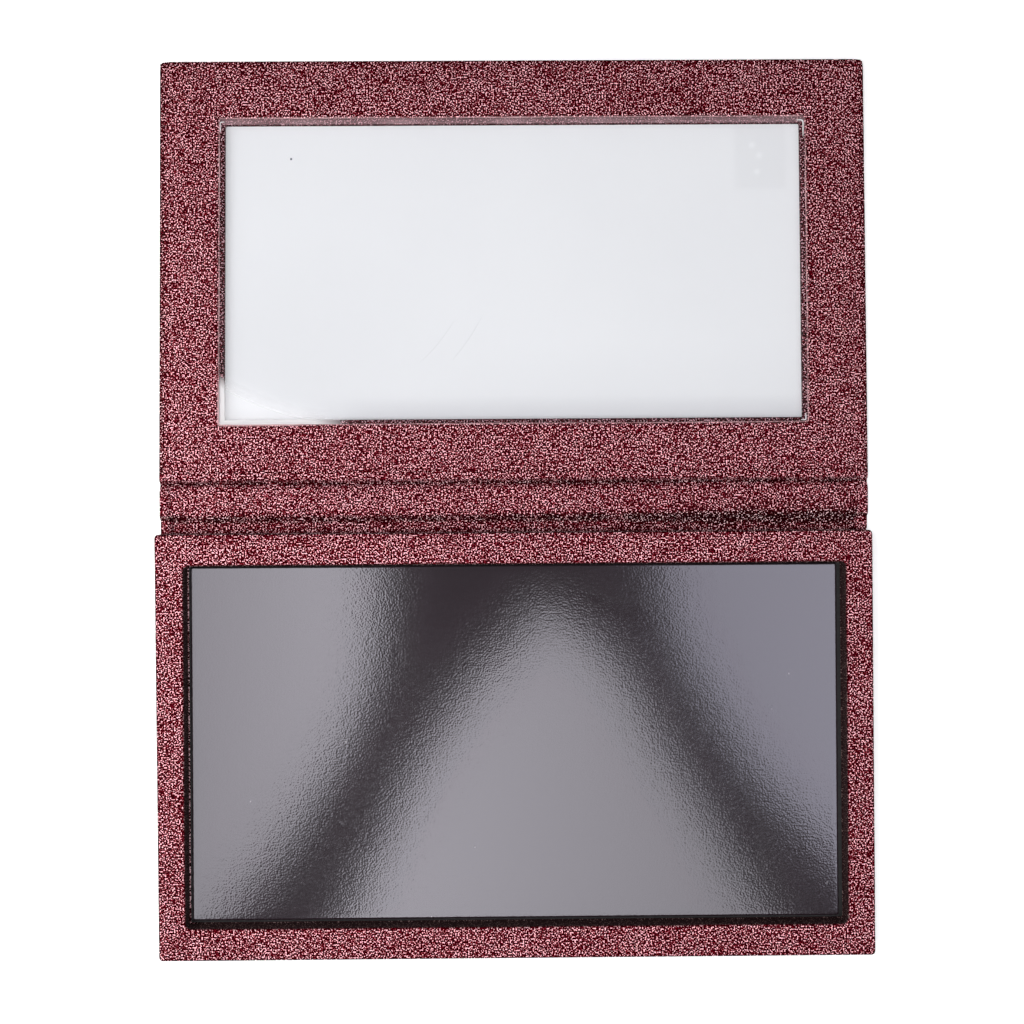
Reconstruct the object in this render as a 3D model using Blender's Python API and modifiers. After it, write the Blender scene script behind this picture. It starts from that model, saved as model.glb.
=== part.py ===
"""Magnetic makeup palette: an open book-style case with a tray, a spine and a cover with a window.

The case lies open and flat on the table. X runs along the spine, +Y goes from the tray to the
cover and +Z is up. The origin is at the middle of the whole open case, on the table. Sizes are
in metres. Boards and papers that are glued together on the real case keep one glue line between
them here. The case closes by two folds, each of a quarter turn about an axis along X.
"""

from math import cos, pi, sin

import bmesh
import bpy
from mathutils import Matrix, Vector

mm = 0.001

# Tray
case_width = 200.0 * mm
tray_depth = 118.8 * mm
tray_height = 7.8 * mm
side_rim_width = 7.6 * mm
end_rim_width = 8.9 * mm
tray_corner_radius = 0.6 * mm
well_corner_radius = 0.4 * mm
paper_edge_rounding = 0.2 * mm

# Board, paper and glue
base_board_thickness = 1.5 * mm
spine_board_thickness = 1.2 * mm
cover_board_thickness = 1.2 * mm
wrap_paper = 0.30 * mm
liner_paper = 0.25 * mm
floor_paper_thickness = 0.20 * mm
glue_line = 0.20 * mm
base_turn_in = 5.0 * mm
spine_turn_in = 3.0 * mm
spine_overhang = 0.5 * mm
cover_turn_in = 9.0 * mm
hinge_liner_lap = 6.0 * mm
liner_inset = 1.0 * mm

# Magnetic sheet
sheet_gap_left = 1.4 * mm
sheet_gap_right = 1.7 * mm
sheet_gap_back = 0.5 * mm
sheet_gap_front = 1.2 * mm
sheet_corner_radius = 0.5 * mm
adhesive_thickness = 0.10 * mm
adhesive_inset = 1.0 * mm
magnetic_rubber_thickness = 0.70 * mm
sheet_film_thickness = 0.10 * mm

# Closing magnets
magnet_length = 10.0 * mm
magnet_width = 3.5 * mm
magnet_thickness = 1.0 * mm
magnet_rounding = 0.15 * mm
magnet_clearance = 0.20 * mm
magnet_from_side = 40.0 * mm

# Window
window_side_margin = 17.15 * mm
window_front_margin = 16.5 * mm
window_back_margin = 15.35 * mm
window_side_reveal = 0.85 * mm
window_end_reveal = 1.1 * mm
window_corner_radius = 0.5 * mm
window_turn_in = 6.0 * mm
film_lap = 7.0 * mm
film_corner_radius = 2.0 * mm
window_film_thickness = 0.15 * mm

# Folds
fold_clearance = 0.30 * mm
closing_gap = 0.30 * mm
cover_setback = 0.60 * mm
wrap_fold_gap = 0.20 * mm
liner_fold_gap = 0.80 * mm
spine_edge_at_tray = 1.9 * mm
spine_edge_at_cover = 0.9 * mm

# Cutters reach this far past what they cut
past = 2.0 * mm
arc_steps = 5

# Heights in the base
fold_height = wrap_paper / 2
board_bottom = wrap_paper + glue_line
groove_liner_bottom = wrap_paper + glue_line
base_board_top = board_bottom + base_board_thickness
base_turn_in_bottom = base_board_top + glue_line
base_wrap_top = base_turn_in_bottom + wrap_paper
wall_bottom = base_turn_in_bottom + max(wrap_paper, liner_paper) + glue_line
wall_top = tray_height - wrap_paper - glue_line
floor_bottom = base_board_top + glue_line
floor_top = floor_bottom + floor_paper_thickness
adhesive_bottom = floor_top + glue_line
adhesive_top = adhesive_bottom + adhesive_thickness
rubber_bottom = adhesive_top + glue_line
rubber_top = rubber_bottom + magnetic_rubber_thickness
sheet_film_bottom = rubber_top + glue_line
sheet_film_top = sheet_film_bottom + sheet_film_thickness

# Heights in the spine and the cover
spine_board_top = board_bottom + spine_board_thickness
spine_liner_bottom = spine_board_top + glue_line
spine_height = spine_liner_bottom + max(wrap_paper, liner_paper)
cover_board_top = board_bottom + cover_board_thickness
cover_turn_in_bottom = cover_board_top + glue_line
cover_wrap_top = cover_turn_in_bottom + wrap_paper
film_bottom = cover_wrap_top + glue_line
film_top = film_bottom + window_film_thickness
cover_liner_bottom = film_top + glue_line
cover_height = cover_liner_bottom + liner_paper

# Depths along Y, worked out so that the case closes: the upright spine clears the tray and the
# cover's edge, and the cover comes down on the rim
groove_width = spine_height - fold_height + fold_clearance
fold_to_fold = tray_height + cover_height + closing_gap - 2 * fold_height
cover_depth = tray_depth - cover_setback
overall_depth = tray_depth + groove_width + fold_to_fold + groove_width + cover_depth

half_width = case_width / 2
spine_half_width = half_width + spine_overhang
tray_front = -overall_depth / 2
tray_back = tray_front + tray_depth
tray_fold = tray_back + groove_width
cover_fold = tray_fold + fold_to_fold
cover_back = cover_fold + groove_width
cover_front = cover_back + cover_depth

# A board's free edges stand back by the wrap and its glue, its hinge edges by the liner and its glue
wrapped_edge = wrap_paper + glue_line
lined_edge = liner_paper + glue_line

# The well inside the rim's paper, and the sheet in it
well_left = -half_width + side_rim_width
well_right = half_width - side_rim_width
well_front = tray_front + end_rim_width
well_back = tray_back - end_rim_width
sheet_left = well_left + sheet_gap_left
sheet_right = well_right - sheet_gap_right
sheet_front = well_front + sheet_gap_front
sheet_back = well_back - sheet_gap_back

# The window in the liner, and the smaller opening in the wrap
window_half_width = half_width - window_side_margin
window_front = cover_front - window_front_margin
window_back = cover_back + window_back_margin
aperture_half_width = window_half_width - window_side_reveal
aperture_front = window_front - window_end_reveal
aperture_back = window_back + window_end_reveal

# The closing magnets stand in the middle of the front wall, and the cover's meet them when closed
tray_magnet_y = tray_front + end_rim_width / 2
cover_magnet_y = cover_front + cover_setback - end_rim_width / 2
magnet_places = {"left": -half_width + magnet_from_side, "right": half_width - magnet_from_side}

rose_glitter = (0.30, 0.13, 0.145, 1.0)
greyboard = (0.36, 0.33, 0.29, 1.0)
black_paper = (0.012, 0.011, 0.012, 1.0)
black_rubber = (0.02, 0.02, 0.021, 1.0)
clear_plastic = (0.85, 0.87, 0.90, 1.0)
amber_adhesive = (0.55, 0.50, 0.40, 1.0)
magnet_nickel = (0.62, 0.61, 0.60, 1.0)


def clear_scene():
    """Remove every object that the file starts with."""
    for thing in list(bpy.data.objects):
        bpy.data.objects.remove(thing, do_unlink=True)


def new_collection(name):
    collection = bpy.data.collections.new(name)
    bpy.context.scene.collection.children.link(collection)
    return collection


def move_to(collection, thing):
    """Put an object in one collection and take it out of the others."""
    for other in list(thing.users_collection):
        other.objects.unlink(thing)
    collection.objects.link(thing)


def rectangle(x0, x1, y0, y1, radius=0.0):
    """Points of a rectangle, with its corners rounded to a radius."""
    if radius <= 0.0:
        return [(x0, y0), (x1, y0), (x1, y1), (x0, y1)]
    corners = [(x1, y0, -0.5), (x1, y1, 0.0), (x0, y1, 0.5), (x0, y0, 1.0)]
    points = []
    for x, y, start in corners:
        centre_x = x - radius if x == x1 else x + radius
        centre_y = y - radius if y == y1 else y + radius
        for step in range(arc_steps):
            angle = pi * (start + 0.5 * step / (arc_steps - 1))
            points.append((centre_x + radius * cos(angle), centre_y + radius * sin(angle)))
    return points


def mesh_from_outlines(name, outlines, thickness):
    """A flat solid from closed outlines, the first outside and the others holes, centred on Z."""
    curve = bpy.data.curves.new(name, "CURVE")
    curve.dimensions = "2D"
    curve.fill_mode = "BOTH"
    curve.extrude = thickness / 2
    for outline in outlines:
        spline = curve.splines.new("POLY")
        spline.points.add(len(outline) - 1)
        for point, (x, y) in zip(spline.points, outline):
            point.co = (x, y, 0.0, 1.0)
        spline.use_cyclic_u = True
    drawn = bpy.data.objects.new(name, curve)
    bpy.context.scene.collection.objects.link(drawn)
    evaluated = drawn.evaluated_get(bpy.context.evaluated_depsgraph_get())
    mesh = bpy.data.meshes.new_from_object(evaluated)
    bpy.data.objects.remove(drawn, do_unlink=True)
    bpy.data.curves.remove(curve)
    welded = bmesh.new()
    welded.from_mesh(mesh)
    bmesh.ops.remove_doubles(welded, verts=welded.verts, dist=0.01 * mm)
    bmesh.ops.dissolve_limit(welded, angle_limit=0.001, verts=welded.verts, edges=welded.edges)
    bmesh.ops.recalc_face_normals(welded, faces=welded.faces)
    welded.to_mesh(mesh)
    welded.free()
    mesh.name = name
    return mesh


def plate(name, outlines, bottom, top, collection):
    """A flat piece between two heights, from outlines in X and Y."""
    mesh = mesh_from_outlines(name, outlines, top - bottom)
    mesh.transform(Matrix.Translation((0.0, 0.0, (bottom + top) / 2)))
    made = bpy.data.objects.new(name, mesh)
    collection.objects.link(made)
    return made


def block(name, x0, x1, y0, y1, z0, z1, collection):
    """A box between two corners."""
    bpy.ops.mesh.primitive_cube_add(size=1.0)
    made = bpy.context.object
    made.name = name
    made.data.name = name
    size = Matrix.Diagonal((x1 - x0, y1 - y0, z1 - z0, 1.0))
    place = Matrix.Translation(((x0 + x1) / 2, (y0 + y1) / 2, (z0 + z1) / 2))
    made.data.transform(place @ size)
    move_to(collection, made)
    return made


def side_of_path(path, distance):
    """The path's points moved square to it by a distance, with mitred corners."""
    moved = []
    for i, point in enumerate(path):
        here = Vector(point)
        normals = []
        if i > 0:
            along = (here - Vector(path[i - 1])).normalized()
            normals.append(Vector((-along.y, along.x)))
        if i < len(path) - 1:
            along = (Vector(path[i + 1]) - here).normalized()
            normals.append(Vector((-along.y, along.x)))
        mitre = sum(normals, Vector((0.0, 0.0)))
        mitre = mitre / mitre.dot(normals[0])
        moved.append(tuple(here + mitre * distance))
    return moved


def bent_sheet(name, path, thickness, x0, x1, collection):
    """A sheet of even thickness that follows a path in Y and Z and runs along X."""
    upper = side_of_path(path, thickness / 2)
    lower = side_of_path(path, -thickness / 2)
    mesh = mesh_from_outlines(name, [lower + upper[::-1]], x1 - x0)
    along_x = Matrix(((0, 0, 1, 0), (1, 0, 0, 0), (0, 1, 0, 0), (0, 0, 0, 1)))
    mesh.transform(Matrix.Translation(((x0 + x1) / 2, 0.0, 0.0)) @ along_x)
    made = bpy.data.objects.new(name, mesh)
    collection.objects.link(made)
    return made


def cut(target, cutter):
    """Take the cutter's shape out of the target."""
    cutter.hide_render = True
    cutter.display_type = "WIRE"
    boolean = target.modifiers.new(cutter.name, "BOOLEAN")
    boolean.operation = "DIFFERENCE"
    boolean.solver = "EXACT"
    boolean.object = cutter


def round_edges_at(target, height, width):
    """Round the edges that lie at one height."""
    mesh = target.data
    weights = mesh.attributes.new("bevel_weight_edge", "FLOAT", "EDGE")
    for edge in mesh.edges:
        ends = [mesh.vertices[i].co.z for i in edge.vertices]
        level = all(abs(z - height) < 0.01 * mm for z in ends)
        weights.data[edge.index].value = 1.0 if level else 0.0
    bevel = target.modifiers.new("rounding", "BEVEL")
    bevel.limit_method = "WEIGHT"
    bevel.width = width
    bevel.segments = 2


def finish(target, colour, roughness, metallic=0.0, alpha=1.0):
    """Give a piece its own material."""
    material = bpy.data.materials.new(target.name + "_material")
    material.use_nodes = True
    shader = material.node_tree.nodes["Principled BSDF"]
    shader.inputs["Base Color"].default_value = colour
    shader.inputs["Roughness"].default_value = roughness
    shader.inputs["Metallic"].default_value = metallic
    shader.inputs["Alpha"].default_value = alpha
    target.data.materials.clear()
    target.data.materials.append(material)


def make_base_board(parts):
    board = block("base_board", -half_width + wrapped_edge, half_width - wrapped_edge,
                  tray_front + wrapped_edge, tray_back - lined_edge, board_bottom, base_board_top, parts)
    finish(board, greyboard, 0.9)


def make_base_wrap(parts, cutters):
    """Paper under the base board, up its three free edges and turned in over it."""
    board_end = tray_back - lined_edge
    outline = rectangle(-half_width, half_width, tray_front, tray_fold - wrap_fold_gap, tray_corner_radius)
    wrap = plate("base_wrap", [outline], 0.0, base_wrap_top, parts)
    round_edges_at(wrap, 0.0, paper_edge_rounding)
    cavity = block("base_wrap_cavity", -half_width + wrap_paper, half_width - wrap_paper,
                   tray_front + wrap_paper, tray_fold + past, wrap_paper, base_turn_in_bottom, cutters)
    mouth = block("base_wrap_mouth", -half_width + base_turn_in, half_width - base_turn_in,
                  tray_front + base_turn_in, tray_fold + past, base_board_top, base_wrap_top + past, cutters)
    tail = block("base_wrap_tail", -half_width - past, half_width + past,
                 board_end, tray_fold + past, wrap_paper, base_wrap_top + past, cutters)
    for cutter in (cavity, mouth, tail):
        cut(wrap, cutter)
    finish(wrap, rose_glitter, 0.45)


def make_tray_walls(parts, cutters):
    """Four strips of board: the two at the sides run through, the others stand between them."""
    inside = wrap_paper + glue_line
    left = -half_width + wrapped_edge
    right = half_width - wrapped_edge
    front = tray_front + wrapped_edge
    back = tray_back - wrapped_edge
    spans = {
        "tray_wall_left": (left, well_left - inside, front, back),
        "tray_wall_right": (well_right + inside, right, front, back),
        "tray_wall_front": (well_left - inside + glue_line, well_right + inside - glue_line,
                            front, well_front - inside),
        "tray_wall_back": (well_left - inside + glue_line, well_right + inside - glue_line,
                           well_back + inside, back),
    }
    for name, (x0, x1, y0, y1) in spans.items():
        wall = block(name, x0, x1, y0, y1, wall_bottom, wall_top, parts)
        if name == "tray_wall_front":
            for side, x in magnet_places.items():
                pocket = magnet_pocket("tray_magnet_pocket_" + side, x, tray_magnet_y,
                                       wall_top - magnet_thickness - 2 * magnet_clearance,
                                       wall_top + past, cutters)
                cut(wall, pocket)
        finish(wall, greyboard, 0.9)


def magnet_pocket(name, x, y, bottom, top, cutters):
    half_length = magnet_length / 2 + magnet_clearance
    half_breadth = magnet_width / 2 + magnet_clearance
    return block(name, x - half_length, x + half_length, y - half_breadth, y + half_breadth,
                 bottom, top, cutters)


def make_magnet(name, x, y, bottom, parts):
    magnet = block(name, x - magnet_length / 2, x + magnet_length / 2,
                   y - magnet_width / 2, y + magnet_width / 2, bottom, bottom + magnet_thickness, parts)
    bevel = magnet.modifiers.new("rounding", "BEVEL")
    bevel.width = magnet_rounding
    bevel.segments = 2
    finish(magnet, magnet_nickel, 0.25, 1.0)


def make_tray_wrap(parts, cutters):
    """Paper over the walls: up the outside, over the rim and down into the well."""
    outside = rectangle(-half_width, half_width, tray_front, tray_back, tray_corner_radius)
    well = rectangle(well_left, well_right, well_front, well_back, well_corner_radius)
    wrap = plate("tray_wrap", [outside, well], wall_bottom, tray_height, parts)
    round_edges_at(wrap, tray_height, paper_edge_rounding)
    channel_outside = rectangle(-half_width + wrap_paper, half_width - wrap_paper,
                                tray_front + wrap_paper, tray_back - wrap_paper)
    channel_inside = rectangle(well_left - wrap_paper, well_right + wrap_paper,
                               well_front - wrap_paper, well_back + wrap_paper)
    channel = plate("tray_wrap_channel", [channel_outside, channel_inside],
                    wall_bottom - past, tray_height - wrap_paper, cutters)
    cut(wrap, channel)
    finish(wrap, rose_glitter, 0.45)


def make_well(parts):
    """What lies on the floor of the well: paper, adhesive, magnetic rubber and its glossy film."""
    under_walls = base_turn_in + glue_line
    floor = block("tray_floor_paper", -half_width + under_walls, half_width - under_walls,
                  tray_front + under_walls, tray_back - hinge_liner_lap - glue_line,
                  floor_bottom, floor_top, parts)
    finish(floor, black_paper, 0.8)
    adhesive = block("sheet_adhesive", sheet_left + adhesive_inset, sheet_right - adhesive_inset,
                     sheet_front + adhesive_inset, sheet_back - adhesive_inset,
                     adhesive_bottom, adhesive_top, parts)
    finish(adhesive, amber_adhesive, 0.5)
    outline = rectangle(sheet_left, sheet_right, sheet_front, sheet_back, sheet_corner_radius)
    rubber = plate("magnetic_sheet", [outline], rubber_bottom, rubber_top, parts)
    finish(rubber, black_rubber, 0.5)
    film = plate("sheet_film", [outline], sheet_film_bottom, sheet_film_top, parts)
    finish(film, black_rubber, 0.08)


def make_base_hinge_liner(parts):
    """The end of the liner: in the groove, up the base board's edge and in under the tray."""
    groove = groove_liner_bottom + liner_paper / 2
    upright = tray_back - liner_paper / 2
    lap = base_turn_in_bottom + liner_paper / 2
    path = [
        (tray_fold - liner_fold_gap, groove),
        (upright, groove),
        (upright, lap),
        (tray_back - hinge_liner_lap, lap),
    ]
    liner = bent_sheet("base_hinge_liner", path, liner_paper, -half_width + base_turn_in + glue_line,
                       half_width - base_turn_in - glue_line, parts)
    finish(liner, rose_glitter, 0.45)


def make_spine(parts, cutters):
    """The spine's board, the wrap with its ends turned in, and the liner over it."""
    first = tray_fold + spine_edge_at_tray
    last = cover_fold - spine_edge_at_cover
    board = block("spine_board", -spine_half_width + wrapped_edge, spine_half_width - wrapped_edge,
                  first + lined_edge, last - lined_edge, board_bottom, spine_board_top, parts)
    finish(board, greyboard, 0.9)

    start = tray_fold + wrap_fold_gap
    end = cover_fold - wrap_fold_gap
    wrap_top = spine_liner_bottom + wrap_paper
    outline = rectangle(-spine_half_width, spine_half_width, start, end)
    wrap = plate("spine_wrap", [outline], 0.0, wrap_top, parts)
    cavity = block("spine_wrap_cavity", -spine_half_width + wrap_paper, spine_half_width - wrap_paper,
                   start - past, end + past, wrap_paper, spine_liner_bottom, cutters)
    mouth = block("spine_wrap_mouth", -spine_half_width + spine_turn_in, spine_half_width - spine_turn_in,
                  start - past, end + past, spine_board_top, wrap_top + past, cutters)
    tray_groove = block("spine_wrap_tray_groove", -spine_half_width - past, spine_half_width + past,
                        start - past, first + lined_edge, wrap_paper, wrap_top + past, cutters)
    cover_groove = block("spine_wrap_cover_groove", -spine_half_width - past, spine_half_width + past,
                         last - lined_edge, end + past, wrap_paper, wrap_top + past, cutters)
    for cutter in (cavity, mouth, tray_groove, cover_groove):
        cut(wrap, cutter)
    finish(wrap, rose_glitter, 0.45)

    groove = groove_liner_bottom + liner_paper / 2
    over = spine_liner_bottom + liner_paper / 2
    path = [
        (tray_fold + liner_fold_gap, groove),
        (first + liner_paper / 2, groove),
        (first + liner_paper / 2, over),
        (last - liner_paper / 2, over),
        (last - liner_paper / 2, groove_liner_bottom),
    ]
    liner = bent_sheet("spine_liner", path, liner_paper, -spine_half_width + spine_turn_in + glue_line,
                       spine_half_width - spine_turn_in - glue_line, parts)
    finish(liner, rose_glitter, 0.45)


def grown(x_half, y0, y1, by, radius=0.0):
    """The outline of an opening that is larger than a given one by the same amount all round."""
    return rectangle(-x_half - by, x_half + by, y0 - by, y1 + by, radius)


def make_cover_board(parts, cutters):
    outline = rectangle(-half_width + wrapped_edge, half_width - wrapped_edge,
                        cover_back + lined_edge, cover_front - wrapped_edge)
    opening = grown(aperture_half_width, aperture_back, aperture_front, wrapped_edge)
    board = plate("cover_board", [outline, opening], board_bottom, cover_board_top, parts)
    for side, x in magnet_places.items():
        slot = magnet_pocket("cover_magnet_slot_" + side, x, cover_magnet_y,
                             board_bottom - past, cover_board_top + past, cutters)
        cut(board, slot)
    finish(board, greyboard, 0.9)


def make_cover_wrap(parts, cutters):
    """Paper outside the cover, turned in round three edges and round the window."""
    board_end = cover_back + lined_edge
    outline = rectangle(-half_width, half_width, cover_fold + wrap_fold_gap, cover_front, tray_corner_radius)
    opening = grown(aperture_half_width, aperture_back, aperture_front, 0.0)
    wrap = plate("cover_wrap", [outline, opening], 0.0, cover_wrap_top, parts)
    round_edges_at(wrap, 0.0, paper_edge_rounding)
    cavity_outside = rectangle(-half_width + wrap_paper, half_width - wrap_paper,
                               cover_fold - past, cover_front - wrap_paper)
    cavity_inside = grown(aperture_half_width, aperture_back, aperture_front, wrap_paper)
    cavity = plate("cover_wrap_cavity", [cavity_outside, cavity_inside],
                   wrap_paper, cover_turn_in_bottom, cutters)
    mouth_outside = rectangle(-half_width + cover_turn_in, half_width - cover_turn_in,
                              cover_fold - past, cover_front - cover_turn_in)
    mouth_inside = grown(aperture_half_width, aperture_back, aperture_front, window_turn_in)
    mouth = plate("cover_wrap_mouth", [mouth_outside, mouth_inside],
                  cover_board_top, cover_wrap_top + past, cutters)
    tail = block("cover_wrap_tail", -half_width - past, half_width + past,
                 cover_fold - past, board_end, wrap_paper, cover_wrap_top + past, cutters)
    for cutter in (cavity, mouth, tail):
        cut(wrap, cutter)
    finish(wrap, rose_glitter, 0.45)


def make_window_film(parts):
    outline = grown(aperture_half_width, aperture_back, aperture_front, film_lap, film_corner_radius)
    film = plate("window_film", [outline], film_bottom, film_top, parts)
    finish(film, clear_plastic, 0.03, alpha=0.3)


def make_cover_liner(parts, cutters):
    """The liner over the cover, down the board's edge and into the groove, with the window's opening."""
    groove = groove_liner_bottom + liner_paper / 2
    upright = cover_back + liner_paper / 2
    over = cover_liner_bottom + liner_paper / 2
    path = [
        (cover_fold + liner_fold_gap, groove),
        (upright, groove),
        (upright, over),
        (cover_front - liner_inset, over),
    ]
    liner = bent_sheet("cover_liner", path, liner_paper, -half_width + liner_inset,
                       half_width - liner_inset, parts)
    opening = rectangle(-window_half_width, window_half_width, window_back, window_front,
                        window_corner_radius)
    cutter = plate("cover_liner_opening", [opening], cover_liner_bottom - past, cover_height + past, cutters)
    cut(liner, cutter)
    finish(liner, rose_glitter, 0.45)


def make_magnets(parts):
    """Two bar magnets in the tray's front wall, and two in the cover board that meet them."""
    in_wall = wall_top - magnet_thickness - magnet_clearance
    in_board = board_bottom + (cover_board_thickness - magnet_thickness) / 2
    for side, x in magnet_places.items():
        make_magnet("tray_magnet_" + side, x, tray_magnet_y, in_wall, parts)
        make_magnet("cover_magnet_" + side, x, cover_magnet_y, in_board, parts)


def make_fold_axis(name, y, collection):
    """An empty on a fold's axis, which runs along X at the middle of the wrap's paper."""
    axis = bpy.data.objects.new(name, None)
    axis.empty_display_type = "PLAIN_AXES"
    axis.location = (0.0, y, fold_height)
    collection.objects.link(axis)
    return axis


def hang_on_axis(things, axis, place):
    """Parent pieces to a fold's axis without moving them."""
    for thing in things:
        thing.parent = axis
        thing.matrix_parent_inverse = Matrix.Translation(place).inverted()


def build():
    clear_scene()
    parts = new_collection("magnetic_makeup_palette")
    cutters = new_collection("cutters")
    make_base_board(parts)
    make_base_wrap(parts, cutters)
    make_tray_walls(parts, cutters)
    make_tray_wrap(parts, cutters)
    make_well(parts)
    make_base_hinge_liner(parts)
    make_spine(parts, cutters)
    make_cover_board(parts, cutters)
    make_cover_wrap(parts, cutters)
    make_window_film(parts)
    make_cover_liner(parts, cutters)
    make_magnets(parts)

    spine_pieces = [thing for thing in parts.objects if thing.name.startswith("spine_")]
    cover_names = ("cover_", "window_")
    cover_pieces = [thing for thing in parts.objects if thing.name.startswith(cover_names)]
    spine_axis = make_fold_axis("spine_fold_axis", tray_fold, parts)
    cover_axis = make_fold_axis("cover_fold_axis", cover_fold, parts)
    spine_place = Vector((0.0, tray_fold, fold_height))
    cover_place = Vector((0.0, cover_fold, fold_height))
    hang_on_axis(spine_pieces + [cover_axis], spine_axis, spine_place)
    hang_on_axis(cover_pieces, cover_axis, cover_place)


build()
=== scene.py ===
"""Looks of the magnetic makeup palette: glitter paper, clear window and glossy magnetic sheet.

The case lies open on the table, seen from straight above. X runs along the spine, +Y goes from
the tray to the cover and +Z is up. Lengths are written in millimetres times mm. Every new piece
is a surface worked out on a grid, most of them as rounded rectangles stacked row by row.
"""

import bmesh
import bpy
import numpy as np
from mathutils import Matrix, Vector


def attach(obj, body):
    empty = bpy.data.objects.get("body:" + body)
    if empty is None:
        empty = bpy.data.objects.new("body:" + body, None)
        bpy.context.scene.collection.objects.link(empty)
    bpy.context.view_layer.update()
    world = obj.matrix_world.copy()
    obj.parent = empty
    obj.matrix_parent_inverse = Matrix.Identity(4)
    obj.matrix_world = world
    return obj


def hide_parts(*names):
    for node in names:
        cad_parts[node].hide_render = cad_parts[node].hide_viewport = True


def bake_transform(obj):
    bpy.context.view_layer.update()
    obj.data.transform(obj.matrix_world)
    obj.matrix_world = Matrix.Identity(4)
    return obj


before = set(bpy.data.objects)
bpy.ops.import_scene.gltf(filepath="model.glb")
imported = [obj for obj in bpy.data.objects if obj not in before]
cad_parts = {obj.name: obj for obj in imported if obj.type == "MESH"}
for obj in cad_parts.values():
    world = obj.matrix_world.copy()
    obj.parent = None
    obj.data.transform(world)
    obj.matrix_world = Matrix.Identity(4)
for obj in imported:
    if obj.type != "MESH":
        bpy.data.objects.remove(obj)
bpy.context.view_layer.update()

mm = 0.001

# Outlines of the case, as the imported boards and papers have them
half_width = 100.0 * mm
tray_front, tray_back = -126.25 * mm, -7.45 * mm
cover_back, cover_front = 8.05 * mm, 126.25 * mm
tray_seam, spine_seam, cover_seam = -8.6 * mm, 0.8 * mm, 9.6 * mm
well_half_width, well_front, well_back = 92.4 * mm, -117.35 * mm, -16.35 * mm
window_half_width, window_back, window_front = 82.85 * mm, 23.4 * mm, 109.75 * mm
aperture_half_width, aperture_back, aperture_front = 81.7 * mm, 24.65 * mm, 108.3 * mm
sheet_left, sheet_right = -91.3 * mm, 90.7 * mm
sheet_front, sheet_back = -116.15 * mm, -16.85 * mm

# Heights
tray_top, tray_foot = 7.8 * mm, 2.7 * mm
base_edge_top, cover_edge_top = 2.5 * mm, 2.2 * mm
cover_top = 3.0 * mm
sheet_top, film_top = 3.9 * mm, 2.55 * mm
wrap_paper, lining_paper, gloss_film = 0.30 * mm, 0.25 * mm, 0.10 * mm

# How far the case's sides lean outwards, first beside the spine, then at the far end
upright = (0.0, 0.0)
tray_left_lean = (0.45 * mm, -0.15 * mm)
cover_left_lean = (0.45 * mm, -0.55 * mm)
cover_right_lean = (0.45 * mm, -0.15 * mm)
lean_start = 9 * mm

# Distance between the flakes of the glitter paper, and between the heights at which their
# pattern is read. None of the case's level papers lies halfway between two of these heights.
flake_size = 0.4008 * mm

# Columns of a row of points along the case's sides and ends, and round each corner
side_columns, end_columns, corner_columns = 60, 90, 5


# ---------------------------------------------------------------- surfaces

def loop_rows(keys, per_width=end_columns, per_depth=side_columns, start="right"):
    """Stacked rounded rectangles, as a grid of points.

    A key is (x0, x1, y0, y1, radius, z, steps). Between two keys the six values run evenly in
    that many steps. Each row runs anticlockwise: right side, back side, left side, front side,
    with a quarter circle between them, so column n of every row lies at the same share of the
    outline. start="left" turns the rows so that they begin at the left side.
    """
    values = []
    for first, last in zip(keys[:-1], keys[1:]):
        share = np.arange(first[6])[:, None] / first[6]
        values.append(np.array(first[:6]) * (1 - share) + np.array(last[:6]) * share)
    values.append(np.array(keys[-1][:6])[None])
    x0, x1, y0, y1, radius, z = np.concatenate(values).T[:, :, None]
    along = np.linspace(0, 1, per_depth)[None]
    across = np.linspace(0, 1, per_width)[None]
    turn = (np.arange(corner_columns) + 1)[None] / (corner_columns + 1) * np.pi / 2

    def corner(x, y, begin):
        """A quarter circle round x, y from the angle on."""
        return x + radius * np.cos(begin + turn), y + radius * np.sin(begin + turn)

    left, right, front, back = x0 + radius, x1 - radius, y0 + radius, y1 - radius
    parts = [
        (x1 + 0 * along, front + (back - front) * along), corner(right, back, 0),
        (right + (left - right) * across, y1 + 0 * across), corner(left, back, np.pi / 2),
        (x0 + 0 * along, back + (front - back) * along), corner(left, front, np.pi),
        (left + (right - left) * across, y0 + 0 * across), corner(right, front, 1.5 * np.pi),
    ]
    x = np.concatenate([p[0] for p in parts], 1)
    y = np.concatenate([p[1] for p in parts], 1)
    points = np.stack((x, y, z + 0 * x), -1)
    if start == "left":
        points = np.roll(points, -(per_depth + per_width + 2 * corner_columns), 1)
    return points


def open_loop(points):
    """The first three sides of each row, without the fourth."""
    return points[:, :2 * side_columns + end_columns + 2 * corner_columns]


def grown(x0, x1, y0, y1, by):
    """The rectangle with each side moved outwards by the same amount."""
    return x0 - by, x1 + by, y0 - by, y1 + by


def ripple(x, y, wave, seed):
    """Smooth unevenness between -1 and 1: the mean of seven sine waves near one wavelength, each
    turned to its own direction and shifted by its own phase."""
    draw = np.random.default_rng(seed)
    turns, phases = draw.uniform(0, np.pi, 7), draw.uniform(0, 2 * np.pi, 7)
    lengths = wave * draw.uniform(0.7, 1.5, 7)
    total = 0
    for turn, phase, length in zip(turns, phases, lengths):
        total = total + np.sin((x * np.cos(turn) + y * np.sin(turn)) * 2 * np.pi / length + phase)
    return total / 7


def smooth_step(value, low, high):
    """0 below low, 1 above high, and 3t^2 - 2t^3 in between."""
    share = np.clip((value - low) / (high - low), 0, 1)
    return share * share * (3 - 2 * share)


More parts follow.
